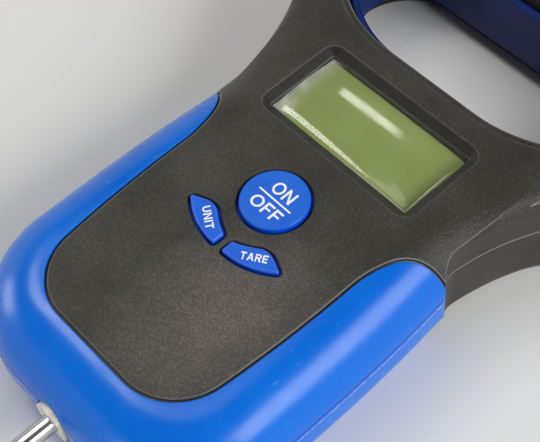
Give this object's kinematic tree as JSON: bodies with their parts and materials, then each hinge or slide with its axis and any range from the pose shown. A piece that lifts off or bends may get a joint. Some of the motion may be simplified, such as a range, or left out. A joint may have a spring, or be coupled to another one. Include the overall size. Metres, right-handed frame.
{
  "type": "digital fish scale",
  "caption": "Handheld digital hanging scale: soft-gripped clamshell housing with a wide hand hole, display, push buttons and a swivelling steel hook.",
  "frame": {"origin": "on the flat back, straight under the middle of the ON/OFF button", "axes": "+X to the right of the face, +Y from the hook to the handle, +Z out of the face; the scale lies on its back"},
  "size_m": [0.11, 0.2252, 0.0309],
  "materials": {
    "shell": "fine moulded grain, charcoal ABS",
    "door_shell": "fine moulded grain, charcoal ABS",
    "grip": "smooth satin blue soft-touch overmould",
    "button": "satin blue with white printed function words",
    "lens": "clear glossy, domed",
    "display": "olive reflective display, blank",
    "gasket": "black foam",
    "zebra": "striped elastomer connector",
    "board": "green solder mask",
    "chips": "black epoxy",
    "screw_steel": "zinc plated",
    "plate_steel": "pressed plate",
    "cell_aluminium": "machined",
    "hook_steel": "polished stainless wire",
    "bushing": "black nylon",
    "battery_jacket": "plain grey jacket",
    "contact_metal": "nickel plated spring steel"
  },
  "bodies": {
    "housing": {"front_shell": "shell", "rear_shell": "shell", "front_grip": "grip", "rear_grip": "grip", "hole_liner": "grip", "display_lens": "lens", "lens_gasket": "gasket", "display_glass": "display", "zebra_strips": "zebra", "circuit_board": "board", "board_chips": "chips", "board_screws": "screw_steel", "tact_switches": "chips", "load_cell": "cell_aluminium", "anchor_bar": "plate_steel", "anchor_bolt": "screw_steel", "swivel_yoke": "plate_steel", "yoke_bolt": "screw_steel", "shaft_bushing": "bushing", "battery_1": "battery_jacket", "battery_2": "battery_jacket", "cell_springs": "contact_metal", "cell_contacts": "contact_metal", "case_screws": "screw_steel"},
    "on_off_button": {"on_off_button": "button"},
    "unit_button": {"unit_button": "button"},
    "tare_button": {"tare_button": "button"},
    "hook": {"hook": "hook_steel", "hook_nut": "hook_steel", "thrust_washer": "plate_steel"},
    "battery_door": {"battery_door": "door_shell", "door_seal": "gasket", "door_screws": "screw_steel"}
  },
  "joints": [
    {"name": "on_off_button_press", "type": "slide", "parent": "housing", "child": "on_off_button", "axis": [0, 0, -1], "range_m": [0, 0.0005], "stiffness_N_per_m": 2500},
    {"name": "unit_button_press", "type": "slide", "parent": "housing", "child": "unit_button", "axis": [0, 0, -1], "range_m": [0, 0.0005], "stiffness_N_per_m": 2500},
    {"name": "tare_button_press", "type": "slide", "parent": "housing", "child": "tare_button", "axis": [0, 0, -1], "range_m": [0, 0.0005], "stiffness_N_per_m": 2500},
    {"name": "hook_swivel", "type": "hinge", "parent": "housing", "child": "hook", "pos_m": [0, -0.065, 0.015], "axis": [0, 1, 0], "continuous": true},
    {"name": "battery_door_lift", "type": "slide", "parent": "housing", "child": "battery_door", "axis": [0, 0, -1], "range_m": [0, 0.03]}
  ]
}
